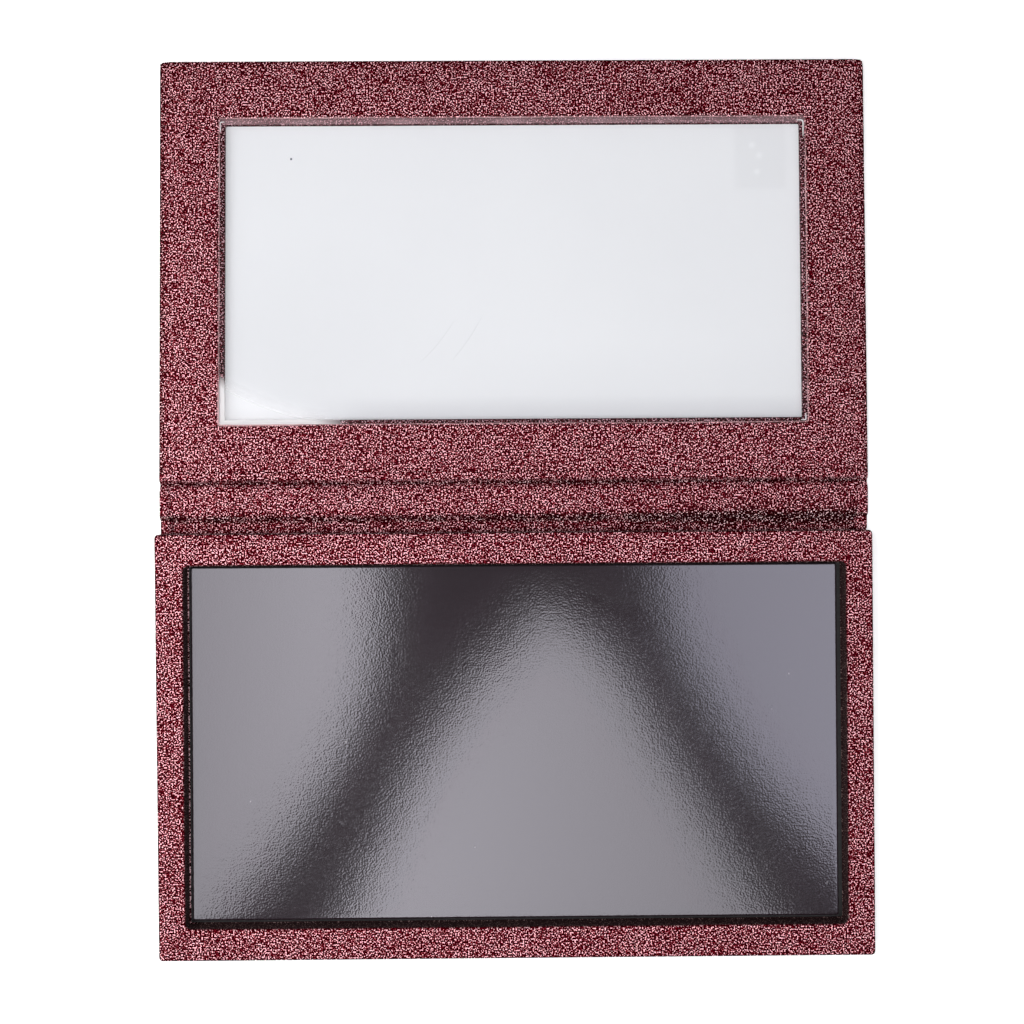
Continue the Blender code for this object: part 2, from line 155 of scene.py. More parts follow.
def spread(points, end_y, left, right):
    """Moves the case's left and right sides outwards, in place: each by its first amount at the
    folds and its second at the far end, evenly in between, and fading out 9 mm inside the side."""
    x, y = points[..., 0], points[..., 1]
    share = np.clip((np.abs(y) - lean_start) / (abs(end_y) - lean_start), 0, 1)
    fade = smooth_step(np.abs(x), 91 * mm, 98.5 * mm)
    to_left, to_right = ((at_folds + (at_end - at_folds) * share) * fade
                         for at_folds, at_end in (left, right))
    points[..., 0] = x + to_right * (x > 0) - to_left * (x < 0)


def new_object(name, data):
    """An object in the scene, at the origin."""
    made = bpy.data.objects.new(name, data)
    bpy.context.scene.collection.objects.link(made)
    return made


def piece(name, patches, material, body=None, thickness=0.0):
    """One mesh object from grids of points.

    A patch is (points, closed, marks): points is rows x columns x 3, closed joins the last column
    to the first, and marks is a dictionary of values per point, such as how much painted shade it
    carries. Where patches share an edge, their points are merged. Bends over 35 degrees look sharp.
    A thickness adds an inner side.
    """
    points, faces, marks, count = [], [], {}, 0
    names = sorted({mark for patch in patches for mark in patch[2]})
    for grid, closed, patch_marks in patches:
        rows, columns = grid.shape[:2]
        number = np.arange(rows * columns).reshape(rows, columns) + count
        if closed:
            number = np.hstack((number, number[:, :1]))
        faces.append(np.stack((number[:-1, :-1], number[:-1, 1:], number[1:, 1:], number[1:, :-1]),
                              -1).reshape(-1, 4))
        points.append(grid.reshape(-1, 3))
        for mark in names:
            value = patch_marks.get(mark, 0.0) + np.zeros((rows, columns))
            marks.setdefault(mark, []).append(value.ravel())
        count += rows * columns
    mesh = bpy.data.meshes.new(name)
    mesh.from_pydata(np.concatenate(points).tolist(), [], np.concatenate(faces).tolist())
    for mark in names:
        layer = mesh.attributes.new(mark, "FLOAT", "POINT")
        layer.data.foreach_set("value", np.concatenate(marks[mark]).astype(np.float32))
    shape = bmesh.new()
    shape.from_mesh(mesh)
    bmesh.ops.remove_doubles(shape, verts=shape.verts, dist=2e-6)
    bmesh.ops.dissolve_degenerate(shape, edges=shape.edges, dist=1e-6)
    shape.to_mesh(mesh)
    shape.free()
    mesh.shade_smooth()
    mesh.set_sharp_from_angle(angle=np.radians(35))
    mesh.materials.append(material)
    item = new_object(name, mesh)
    if thickness:
        wall = item.modifiers.new("thickness", "SOLIDIFY")
        wall.thickness = thickness
        wall.offset = -1
    if body:
        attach(item, body)
    return item


# ---------------------------------------------------------------- materials

def new_material(name):
    """An empty node material with its output node."""
    material = bpy.data.materials.new(name)
    material.use_nodes = True
    tree = material.node_tree
    tree.nodes.clear()
    output = tree.nodes.new("ShaderNodeOutputMaterial")
    return material, tree, output


def node(tree, kind, inputs=None, **settings):
    """A node with its settings, and its inputs set to values or joined to other nodes' outputs."""
    made = tree.nodes.new("ShaderNode" + kind)
    for key, value in settings.items():
        setattr(made, key, value)
    for key, value in (inputs or {}).items():
        if isinstance(value, bpy.types.NodeSocket):
            tree.links.new(value, made.inputs[key])
        else:
            made.inputs[key].default_value = value
    return made


def math_node(tree, operation, first, second=0.0, third=0.0):
    """The result of a sum with up to three numbers or outputs."""
    return node(tree, "Math", {0: first, 1: second, 2: third}, operation=operation).outputs[0]


def noise(tree, place, scale, detail=0.0):
    """Noise between 0 and 1. A scale of 1000 has about one grain to the millimetre."""
    return node(tree, "TexNoise", {"Vector": place, "Scale": scale, "Detail": detail}).outputs[0]


def attribute(tree, name):
    """A mark that the piece's points carry, or 0 on pieces without it."""
    return node(tree, "Attribute", attribute_name=name).outputs["Fac"]


def between(tree, value, low, high, at_low, at_high):
    """at_low up to low, at_high from high on, and even in between. Low may be the larger one."""
    return node(tree, "MapRange", {0: value, 1: low, 2: high, 3: at_low, 4: at_high}).outputs[0]


def mix_colour(tree, share, first, second):
    """The first colour where the share is 0, the second where it is 1."""
    return node(tree, "Mix", {0: share, 6: first, 7: second}, data_type="RGBA").outputs[2]


def ramp(tree, value, stops):
    """A colour ramp from (place, colour) stops."""
    made = node(tree, "ValToRGB", {0: value})
    elements = made.color_ramp.elements
    while len(elements) > 1:
        elements.remove(elements[-1])
    elements[0].position, elements[0].color = stops[0][0], (*stops[0][1], 1)
    for place, colour in stops[1:]:
        elements.new(place).color = (*colour, 1)
    return made.outputs[0]


def glitter_paper(name):
    """Rose glitter paper: fine flakes of about a third of a millimetre packed over dark maroon,
    each with its own shade and its own small tilt, in faint clouds.

    Painted shade ("valley") makes the paper darker, with greyer flakes: it is set in the creases,
    on the bends and edges and over shaded stretches, and below 0 it paints the flakes lighter, as a
    painted highlight. On the tray's inner walls ("bare") the colour turns near-black, with few dull
    flakes and a ragged upper edge. A cut edge ("cut_edge") shows the paper's pale core; the same
    mark also paints a paler sheen and a reflection by the window.
    """
    material, tree, output = new_material(name)
    place = node(tree, "TexCoord").outputs["Object"]
    x, y, z = node(tree, "SeparateXYZ", {0: place}).outputs
    # The grain is read at the nearest of evenly spaced heights, so that it is as strong on every
    # level paper, whatever its height
    layer = math_node(tree, "SNAP", math_node(tree, "ADD", z, flake_size / 2), flake_size)
    across = math_node(tree, "ADD", x, flake_size / 2)
    layered = node(tree, "CombineXYZ", {0: across, 1: y, 2: layer}).outputs[0]
    grain = noise(tree, layered, 1 / flake_size)
    flakes = node(tree, "TexVoronoi", {"Vector": place, "Scale": 3600.0}).outputs["Color"]
    shade = node(tree, "SeparateColor", {0: flakes}).outputs[0]
    cloud = noise(tree, place, 210.0, 2.0)
    # Painted shade: this mark darkens the paper and greys its flakes; below 0 it paints them
    # lighter.
    valley = attribute(tree, "valley")
    light = math_node(tree, "MULTIPLY_ADD", grain, 4.5, -2.60)
    for part, weight in ((shade, 0.8), (cloud, 0.30), (valley, -0.34)):
        light = math_node(tree, "MULTIPLY_ADD", part, weight, light)
    colour = ramp(tree, light, [
        (0.0, (0.018, 0.0, 0.001)), (0.24, (0.038, 0.0, 0.002)), (0.40, (0.14, 0.001, 0.006)),
        (0.64, (0.195, 0.004, 0.015)), (0.80, (0.59, 0.14, 0.18)), (0.96, (1.0, 0.60, 0.66))])
    grey = ramp(tree, light, [
        (0.0, (0.003, 0.0005, 0.0005)), (0.36, (0.02, 0.002, 0.003)), (0.56, (0.12, 0.030, 0.035)),
        (0.70, (0.75, 0.56, 0.57)), (0.84, (1.0, 0.88, 0.89))])
    greyed = math_node(tree, "MULTIPLY", math_node(tree, "MULTIPLY", valley, valley), 0.55)
    colour = mix_colour(tree, greyed, colour, grey)
    dull = ramp(tree, light, [
        (0.0, (0.026, 0.013, 0.014)), (0.50, (0.042, 0.020, 0.021)), (0.85, (0.085, 0.046, 0.048)),
        (1.0, (0.22, 0.15, 0.145))])
    # The tray's inner walls turn near-black, with few dull flakes, below a ragged edge.
    ragged = math_node(tree, "MULTIPLY_ADD", grain, 1.3, attribute(tree, "bare"))
    colour = mix_colour(tree, between(tree, ragged, 1.02, 1.32, 0.0, 1.0), colour, dull)
    # Pale core of the cut edges, and a painted sheen and painted reflection by the window.
    colour = mix_colour(tree, attribute(tree, "cut_edge"), colour, (0.62, 0.40, 0.415, 1))
    tilt = node(tree, "VectorMath", {0: flakes, 1: (0.5, 0.5, 0.5)}, operation="SUBTRACT")
    tilt = node(tree, "VectorMath", {0: tilt.outputs[0], 3: 0.34}, operation="SCALE").outputs[0]
    facing = node(tree, "NewGeometry").outputs["Normal"]
    facing = node(tree, "VectorMath", {0: facing, 1: tilt}, operation="ADD").outputs[0]
    facing = node(tree, "VectorMath", {0: facing}, operation="NORMALIZE").outputs[0]
    surface = node(tree, "BsdfPrincipled", {
        "Base Color": colour, "Metallic": 0.25, "Roughness": 0.5, "Specular IOR Level": 0.0,
        "Normal": facing})
    tree.links.new(surface.outputs[0], output.inputs[0])
    return material


def glossy_sheet(name):
    """Black film with a fine orange peel, faint lengthwise streaks and a few specks of dust."""
    material, tree, output = new_material(name)
    place = node(tree, "TexCoord").outputs["Object"]
    stretched = node(tree, "Mapping", {"Vector": place, "Scale": (1.0, 0.05, 1.0)}).outputs[0]
    relief = noise(tree, place, 2000.0)
    relief = math_node(tree, "MULTIPLY_ADD", noise(tree, place, 420.0), 0.45, relief)
    relief = math_node(tree, "MULTIPLY_ADD", noise(tree, stretched, 600.0, 2.0), 0.18, relief)
    bump = node(tree, "Bump", {"Strength": 1.0, "Distance": 0.0125 * mm, "Height": relief})
    dust = node(tree, "TexVoronoi", {"Vector": place, "Scale": 95.0}).outputs["Distance"]
    colour = mix_colour(tree, between(tree, dust, 0.030, 0.016, 0.0, 1.0),
                        (0.014, 0.0075, 0.0105, 1), (0.20, 0.19, 0.20, 1))
    surface = node(tree, "BsdfPrincipled", {
        "Base Color": colour, "Roughness": 0.10, "IOR": 1.58,
        "Specular Tint": (0.925, 0.905, 1.0, 1), "Normal": bump.outputs[0]})
    tree.links.new(surface.outputs[0], output.inputs[0])
    return material


def clear_film(name):
    """Thin clear film: most light goes straight through and a little is mirrored.

    It has faint smears, a dark speck, a smudge with three drying marks and two hair scratches, and
    it is hazy where it is glued to the paper. Painted shade darkens it towards the left and the
    spine, and a milky white corner is a painted reflection of the left softbox. All places are in
    millimetres.
    """
    material, tree, output = new_material(name)
    place = node(tree, "TexCoord").outputs["Object"]
    apart = node(tree, "SeparateXYZ", {0: place}).outputs

    def calc(operation, first, second=0.0, third=0.0):
        """A sum in this material."""
        return math_node(tree, operation, first, second, third)

    x, y = calc("MULTIPLY", apart[0], 1000.0), calc("MULTIPLY", apart[1], 1000.0)

    def away(from_x, from_y):
        """Distance from a place on the film."""
        side = calc("POWER", calc("SUBTRACT", x, from_x), 2.0)
        up = calc("POWER", calc("SUBTRACT", y, from_y), 2.0)
        return calc("SQRT", calc("ADD", side, up))

    def outside(middle_x, middle_y, half_x, half_y):
        """Distance beyond the nearest side of a rectangle, and below 0 inside it."""
        side = calc("SUBTRACT", calc("ABSOLUTE", calc("SUBTRACT", x, middle_x)), half_x)
        end = calc("SUBTRACT", calc("ABSOLUTE", calc("SUBTRACT", y, middle_y)), half_y)
        return calc("MAXIMUM", side, end)

    def band(value, low, high, most=1.0):
        """The most at low, 0 at high, and even in between."""
        return between(tree, value, low, high, most, 0.0)

    smear = noise(tree, place, 22.0, 3.0)
    tint = ramp(tree, smear, [(0.3, (0.881, 0.884, 0.894)), (0.7, (0.887, 0.890, 0.899))])
    # Painted shade: the film is tinted darker towards the left, towards the spine and along the
    # edge by the spine, standing in for shade on the table below.
    side_shade = calc("MAXIMUM", band(x, -85.0, 0.0, 0.5), band(y, 26.0, 46.0, 0.6))
    side_shade = calc("MAXIMUM", side_shade, band(away(-82.0, 25.0), 25.0, 80.0, 0.85))
    edge_shade = calc("MULTIPLY", band(y, 25.0, 31.3), band(x, -40.0, -62.0))
    speck = band(away(-62.5, 98.4), 0.16, 0.36)
    smudge = band(outside(70.3, 100.0, 6.4, 9.8), 0.0, 1.6, 0.65)
    marks = [(side_shade, (0.860, 0.863, 0.873)), (edge_shade, (0.822, 0.824, 0.837)),
             (speck, (0.30, 0.31, 0.36)), (smudge, (0.866, 0.869, 0.879))]
    for drop in ((68.0, 101.8), (70.0, 98.8), (69.4, 94.2)):
        marks.append((band(away(*drop), 0.2, 1.3, 0.7), (0.905, 0.908, 0.918)))
    for centre, radius, middle in (((-60.0, 78.0), 50.2, (-21.0, 46.5)),
                                   ((-64.0, 82.0), 62.0, (-13.0, 47.5))):
        ring = calc("ABSOLUTE", calc("SUBTRACT", away(*centre), radius))
        scratch = calc("MULTIPLY", band(ring, 0.02, 0.12, 0.5), band(away(*middle), 6.0, 8.0))
        marks.append((scratch, (0.80, 0.80, 0.815)))
    for share, colour in marks:
        tint = mix_colour(tree, share, tint, (*colour, 1))
    through = node(tree, "BsdfTransparent", {"Color": tint})
    mirror = node(tree, "BsdfGlossy", {"Roughness": 0.05})
    front = calc("SUBTRACT", 1.0, node(tree, "NewGeometry").outputs["Backfacing"])
    share = calc("MULTIPLY", node(tree, "Fresnel", {"IOR": 1.2}).outputs[0], front)
    clear = node(tree, "MixShader", {0: share, 1: through.outputs[0], 2: mirror.outputs[0]})

    # The milky white corner is a painted reflection of the left softbox and ends at a parabola that
    # falls towards the right. Where the film is glued as well as milky it hides almost all, so the
    # painted reflection covers the paper there too. It casts no shadow.
    haze_and_glare = {"Color": (0.95, 0.95, 0.96, 1)}
    glare_white = node(tree, "MixShader", {0: 0.35, 1: node(tree, "BsdfDiffuse", haze_and_glare).outputs[0],
                                    2: node(tree, "BsdfTranslucent", haze_and_glare).outputs[0]})
    along = calc("ADD", x, 82.0)
    edge = calc("MULTIPLY_ADD", calc("MULTIPLY_ADD", along, 0.00718, -0.5458), along, 34.99)
    glare_patch = band(calc("SUBTRACT", y, edge), -1.6, 2.4, 0.25)
    glare_patch = calc("MULTIPLY", glare_patch, band(x, -56.0, -46.0))
    glued = outside(0.0, (aperture_back + aperture_front) / 2 / mm, aperture_half_width / mm,
                    (aperture_front - aperture_back) / 2 / mm)
    glued = band(glued, 0.15, -0.15, 0.02)
    hidden = calc("MULTIPLY_ADD", calc("MULTIPLY", glued, glare_patch), 135.0, glare_patch)
    hidden = calc("MULTIPLY", calc("MAXIMUM", hidden, glued), front)
    unshaded = calc("SUBTRACT", 1.0, node(tree, "LightPath").outputs["Is Shadow Ray"])
    hidden = calc("MULTIPLY", hidden, unshaded)
    surface = node(tree, "MixShader", {0: hidden, 1: clear.outputs[0], 2: glare_white.outputs[0]})
    tree.links.new(surface.outputs[0], output.inputs[0])
    return material


def mottled(name, dark, pale, scale, roughness, metallic=0.0, relief=0.01):
    """A plain finish with a fine mottle from dark to pale and a fine relief, in millimetres."""
    material, tree, output = new_material(name)
    place = node(tree, "TexCoord").outputs["Object"]
    grain = noise(tree, place, scale, 4.0)
    colour = ramp(tree, grain, [(0.35, dark), (0.65, pale)])
    bump = node(tree, "Bump", {"Distance": relief * mm, "Height": grain})
    surface = node(tree, "BsdfPrincipled", {
        "Base Color": colour, "Roughness": roughness, "Metallic": metallic,
        "Normal": bump.outputs[0]})
    tree.links.new(surface.outputs[0], output.inputs[0])
    return material


glitter = glitter_paper("rose_glitter_paper")
sheet_gloss = glossy_sheet("glossy_black_film")
film = clear_film("clear_window_film")
greyboard = mottled("greyboard", (0.30, 0.28, 0.24), (0.42, 0.39, 0.34), 900.0, 0.85, relief=0.03)
black_paper = mottled("black_floor_paper", (0.010, 0.009, 0.010), (0.017, 0.016, 0.017), 1200.0,
                      0.7, relief=0.02)
rubber = mottled("magnetic_rubber", (0.013, 0.013, 0.014), (0.024, 0.023, 0.024), 1500.0, 0.6)
adhesive = mottled("adhesive_layer", (0.42, 0.38, 0.31), (0.52, 0.47, 0.38), 700.0, 0.5)
magnet = mottled("nickel_plate", (0.55, 0.54, 0.52), (0.66, 0.65, 0.63), 2500.0, 0.28, 1.0, 0.004)
# Painted highlight: the curled clear film is given a whitish colour for the light it catches.
curled_edge = mottled("curled_film_edge", (0.62, 0.57, 0.58), (0.86, 0.82, 0.83), 1500.0, 0.35)


# ---------------------------------------------------------------- tray

def tray_paper_shape():
    """The paper over the tray's walls: up the outside, over the rim and down into the well.

    The rows climb the outer wall, turn over a small radius, cross the rim, turn down the well's
    wall and end in a short foot on the floor. The rim dips and waves by up to a tenth of a
    millimetre, and so does the well's edge. The outer bend and outer wall carry painted shade, and
    the well's wall a lighter painted shade; from a little below the rim the well's wall also turns
    near-black, except at the left wall's foot, where the flakes are painted lighter, as a painted
    highlight.
    """
    outer = (-half_width, half_width, tray_front, tray_back)
    well = (-well_half_width, well_half_width, well_front, well_back)
    rim = [
        (*outer, 1.1 * mm, tray_foot, 4),
        (*outer, 1.1 * mm, tray_top - 0.50 * mm, 1),
        (*grown(*outer, -0.05 * mm), 1.1 * mm, tray_top - 0.24 * mm, 1),
        (*grown(*outer, -0.20 * mm), 1.0 * mm, tray_top - 0.07 * mm, 1),
        (*grown(*outer, -0.50 * mm), 0.9 * mm, tray_top, 6)]
    wall = [
        (*grown(*well, 0.60 * mm), 2.0 * mm, tray_top, 1),
        (*grown(*well, 0.30 * mm), 1.8 * mm, tray_top - 0.07 * mm, 1),
        (*grown(*well, 0.12 * mm), 1.7 * mm, tray_top - 0.22 * mm, 1),
        (*grown(*well, 0.01 * mm), 1.5 * mm, tray_top - 0.48 * mm, 1),
        (*well, 1.3 * mm, tray_top - 0.80 * mm, 6),
        (*well, 0.5 * mm, 3.1 * mm, 1),
        (*grown(*well, -0.05 * mm), 0.45 * mm, 2.85 * mm, 1),
        (*grown(*well, -0.16 * mm), 0.40 * mm, 2.70 * mm, 1),
        (*grown(*well, -0.36 * mm), 0.40 * mm, 2.64 * mm, 1)]
    points = loop_rows(rim + wall)
    inner = (np.arange(len(points)) > sum(key[6] for key in rim))[:, None]
    x, y, z = points[..., 0].copy(), points[..., 1].copy(), points[..., 2].copy()
    high = smooth_step(z, tray_top - 1.5 * mm, tray_top - 0.1 * mm)
    points[..., 2] = z - high * 0.05 * mm * (1 + ripple(x, y, 34 * mm, 3))
    waver = 0.10 * mm * ripple(x, y, 30 * mm, 5) + 0.05 * mm * ripple(x, y, 6 * mm, 6)
    waver = inner * high * waver
    points[..., 0] += waver * (np.abs(x) > well_half_width - 1 * mm)
    points[..., 1] += waver * ((y < well_front + 1 * mm) | (y > well_back - 1 * mm))
    bare = inner * (0.30 + 0.70 * smooth_step(tray_top - z, 0.05 * mm, 0.60 * mm))
    # Painted shade: most on the outer bend and outer wall, a little on the well's wall.
    valley = np.where(inner, 0.25, smooth_step(tray_top - z, 0.0, 0.06 * mm) * 0.95)
    bare = bare * (tray_top - z > 0.01 * mm)
    # Painted highlight: at the left wall's foot the shade mark goes below 0, which paints the
    # flakes lighter, and the foot keeps its glitter.
    foot = (z < 3.0 * mm) & inner & (x < -90 * mm)
    spread(points, tray_front, tray_left_lean, upright)
    return points, {"valley": np.where(foot, -0.85, valley), "bare": np.where(foot, 0.0, bare)}


tray_grid, tray_marks = tray_paper_shape()
tray_paper = piece("tray_paper", [(tray_grid, True, tray_marks)], glitter, "base", wrap_paper)
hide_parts("tray_wrap")


wrap_bend = 0.6 * mm


def turned_edge(top, back):
    """Outward reach, height and painted shade of a wrap that turns up round a board's edge and in
    over its top, back to the given distance, in millimetres: two quarter turns with a flat side
    between them, which carry the painted shade. It starts one bend inside the case's outline."""
    return [(0.0, 0.0, 0.0), (0.32, 0.0, 0.0), (0.51, 0.08, 0.3), (0.60, 0.30, 0.6),
            (0.60, top - 0.30, 0.9), (0.51, top - 0.08, 1.0), (0.32, top, 0.8), (0.0, top, 0.4),
            (-back, top, 0.0)]


def tray_jacket_shape():
    """The wrap under the base board: flat below, up its three free edges and in over its top."""
    left, right, front = wrap_bend - half_width, half_width - wrap_bend, tray_front + wrap_bend
    middle = (-60 * mm, 60 * mm, -67 * mm, -67 * mm)
    below = loop_rows([(*middle, 0, 0, 14), (left, right, front, tray_seam, 0, 0, 1)], start="left")
    turns = turned_edge(base_edge_top / mm, 4.4)
    keys = [(left - reach * mm, right + reach * mm, front - reach * mm,
             tray_seam + max(reach, 0) * mm, max(reach, 0) * mm, height * mm, 1)
            for reach, height, mark in turns]
    side = open_loop(loop_rows(keys, start="left"))
    for part in (below, side):
        spread(part, tray_front, tray_left_lean, upright)
    # Painted shade on the turned edges.
    return below, side, {"valley": np.array([[mark] for reach, height, mark in turns])}


jacket_below, jacket_side, side_marks = tray_jacket_shape()
tray_jacket = piece("tray_jacket", [(jacket_below, True, {}), (jacket_side, False, side_marks)],
                    glitter, "base", wrap_paper)
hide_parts("base_wrap")


def sheet_face_shape():
    """The glossy face of the magnetic sheet: a plate with turned-down edges that is very slightly
    uneven, by two hundredths of a millimetre over a few centimetres."""
    face = (sheet_left, sheet_right, sheet_front, sheet_back)
    middle_y = (sheet_front + sheet_back) / 2
    middle = (sheet_left + 50 * mm, sheet_right - 50 * mm, middle_y, middle_y)
    keys = [
        (*grown(*face, -0.02 * mm), 0.5 * mm, sheet_top - 0.22 * mm, 1),
        (*face, 0.5 * mm, sheet_top - 0.14 * mm, 1),
        (*grown(*face, -0.06 * mm), 0.5 * mm, sheet_top - 0.05 * mm, 1),
        (*grown(*face, -0.20 * mm), 0.5 * mm, sheet_top - 0.008 * mm, 1),
        (*grown(*face, -0.50 * mm), 0.5 * mm, sheet_top, 40),
        (*middle, 0.0, sheet_top, 1),
    ]
    points = loop_rows(keys, 110, 70)
    x, y = points[..., 0], points[..., 1]
    points[..., 2] += 0.010 * mm * (ripple(x, y, 45 * mm, 11) - 1)
    return points


sheet_face = piece("sheet_face", [(sheet_face_shape(), True, {})], sheet_gloss, "base", gloss_film)
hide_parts("sheet_film")


# ---------------------------------------------------------------- folds

def lining_height(y):
    """Height of the lining across the folds: low beside the tray, a steep rise to the flat spine,
    a sharp crease beside the cover's edge, then the cover's level. Straight between the places."""
    places = np.array([
        -10.0, -8.0, -7.6, -7.3, -6.8, -6.0, -5.2, -4.6, -4.2, -3.8, -3.4, -3.0, -2.7, -2.2,
        -1.0, 3.8, 4.8, 5.6, 6.2, 6.5, 6.75, 7.0, 7.3, 7.7, 8.3, 9.6, 12.0]) * mm
    levels = np.array([
        2.45, 2.45, 2.1, 1.3, 0.95, 0.9, 0.95, 0.92, 1.0, 1.3, 1.65, 1.92, 2.06, 2.16,
        2.2, 2.2, 2.12, 1.9, 1.5, 1.2, 1.1, 1.3, 2.2, 2.75, 2.95, 3.0, 3.0]) * mm
    return np.interp(y, places, levels)


def crease_shade(y):
    """Painted shade in the creases, from 0 to 1: how much darker and greyer the paper is painted at
    a point. Straight between the places."""
    places = np.array([
        -8.2, -7.4, -7.0, -6.2, -5.2, -4.8, -4.4, -3.6, -2.6, -2.0, -1.0, 4.4, 5.4, 6.15, 6.55,
        6.9, 7.2, 8.0]) * mm
    shade_levels = np.array([
        0.8, 0.8, 0.5, 0.35, 0.35, 0.45, 0.9, 1.05, 0.9, 0.3, 0.0, 0.0, 0.10, 0.3, 1.3,
        0.9, 0.15, 0.0])
    return np.interp(y, places, shade_levels)


def cover_droop(x, y):
    """How far the cover's lining sinks towards the three free edges, where no film lies below."""
    from_edge = np.minimum(half_width - np.abs(x), cover_front - y)
    sunk = 1 - smooth_step(from_edge, 0.8 * mm, 9 * mm)
    return sunk * 0.5 * mm * smooth_step(y, 7.0 * mm, 9.6 * mm)


def lining_strip(from_y, to_y):
    """The lining over the folds between two places: height and the painted shade of the creases
    follow y, and both waver along the fold. Its right half gets more painted shade, most in the
    groove beside the tray. Rows run along Y and columns along X."""
    y = np.arange(from_y, to_y + 0.01 * mm, 0.15 * mm)
    y[-1] = to_y
    x = np.linspace(-1, 1, 320)[None]
    y = y[:, None] + 0 * x
    x = x * np.interp(y, np.array([-10, -8.4, -7.2, -3.0, -2.0, 4.8, 7.4, 9.6]) * mm,
                      np.array([94.8, 94.8, 96.4, 96.6, 97.3, 97.3, 99.3, 99.45]) * mm)
    wander = 0.30 * mm * ripple(x, 0 * x, 24 * mm, 21) + 0.22 * mm * ripple(x, 0 * x, 8 * mm, 22)
    groove = smooth_step(y, -7.4 * mm, -6.6 * mm) * (1 - smooth_step(y, -3.9 * mm, -3.3 * mm))
    crease = smooth_step(y, 5.0 * mm, 5.8 * mm) * (1 - smooth_step(y, 7.4 * mm, 8.6 * mm))
    shifted = y + wander * (groove + 0.6 * crease)
    z = lining_height(shifted)
    calm = smooth_step(y, -7.5 * mm, -6.5 * mm) * (1 - smooth_step(y, 8.0 * mm, 9.4 * mm))
    edge = 1 - smooth_step(np.abs(y + 2.9 * mm), 0.1 * mm, 0.9 * mm)
    z = z + calm * (1 - edge) * 0.04 * mm * ripple(x, y, 6 * mm, 24) - cover_droop(x, y)
    # Painted shade: in the creases, broken into blotches, and over the right half.
    blotch = 0.9 + 0.6 * ripple(x, y * 1.5, 9 * mm, 23) + 0.5 * ripple(x, y * 2.0, 2.2 * mm, 25)
    shade = smooth_step(x, 18 * mm, 62 * mm) * smooth_step(y, -7.0 * mm, -4.5 * mm)
    shade = shade * (0.62 - 0.30 * smooth_step(y, -3.4 * mm, -0.4 * mm)
                     - 0.32 * smooth_step(y, -0.4 * mm, 5.0 * mm))
    shade = shade * (1 + 0.5 * ripple(x, y * 2.5, 14 * mm, 26))
    mark = np.clip(crease_shade(y + wander * 0.8) * blotch * (1 - 0.2 * (x < 0)) + shade, 0, 1)
    return np.stack((x, y, z), -1), {"valley": mark}


def jacket_strip(from_y, to_y):
    """The wrap under the folds with its ends turned in: each row is a flat tube cut open on top,
    as wide as the case there and as high as the lining leaves room for."""
    y = np.arange(from_y, to_y + 0.01 * mm, 0.3 * mm)
    y[-1] = to_y
    y = y[:, None]
    reach = np.interp(y, np.array([-8.6, -7.6, -6.9, 9.0, 9.6]) * mm,
                      np.array([100.0, 100.0, 100.5, 100.5, 100.45]) * mm)
    places = np.array([-8.6, -7.9, -7.2, -3.6, -3.0, -2.4, 4.4, 5.4, 6.0, 6.45, 6.9, 7.5, 8.2, 9.6])
    levels = np.array([2.5, 2.3, 0.66, 0.62, 1.5, 1.9, 1.9, 1.5, 0.95, 0.80, 1.05, 1.9, 2.15, 2.2])
    top = np.interp(y, places * mm, levels * mm)
    low = np.interp(y, np.array([-8.0, -6.4, -3.9, -2.7, 4.3, 5.6, 7.2, 8.6]) * mm,
                    np.array([0.0, 0.1, 0.1, 0.0, 0.0, 0.12, 0.12, 0.0]) * mm)
    bend = np.minimum(0.32 * mm, (top - low) / 2.2)
    # From the turned-in end round the bend to the underside: distance and share of the bend that
    # a point lies outside the reach, the share it lies below the top or the low side, its painted
    # shade
    upper = [(-3.4 * mm, 0, 0, 0.0), (-1.5 * mm, 0, 0, 0.0), (0, -1.0, 0, 0.2),
             (0, -0.3, 0.3, 0.5), (0, 0, 1, 0.6)]
    lower = [(0, 0, -1, 0.5), (0, -0.3, -0.3, 0.3), (0, -1.0, 0, 0.0)]
    across = [reach + flat + share * bend for flat, share, drop, mark in upper + lower]
    height = [top - drop * bend for flat, share, drop, mark in upper]
    height += [low - drop * bend for flat, share, drop, mark in lower]
    marks = [mark for flat, share, drop, mark in upper + lower]
    count = 121
    middle = np.linspace(1, -1, count)[None] * (reach - 2.0 * mm)
    x = np.hstack(across + [middle] + [-a for a in across[::-1]])
    z = np.hstack(height + [low + 0 * middle] + height[::-1])
    # Painted shade in the two closed creases of the folds.
    fold_shade = 0.8 * np.exp(-((y + 3.4 * mm) / (0.7 * mm)) ** 2)
    fold_shade = fold_shade + np.exp(-((y - 6.45 * mm) / (0.3 * mm)) ** 2)
    mark = np.clip(np.array([marks + [0.0] * count + marks[::-1]]) + fold_shade, 0, 1)
    lean = np.interp(y, np.array([-8.6, -7.6, -6.9]) * mm, np.array([0.45, 0.4, 0]) * mm)
    x = x - (x < -91 * mm) * lean
    return np.stack((x, y + 0 * x, z), -1), {"valley": mark}


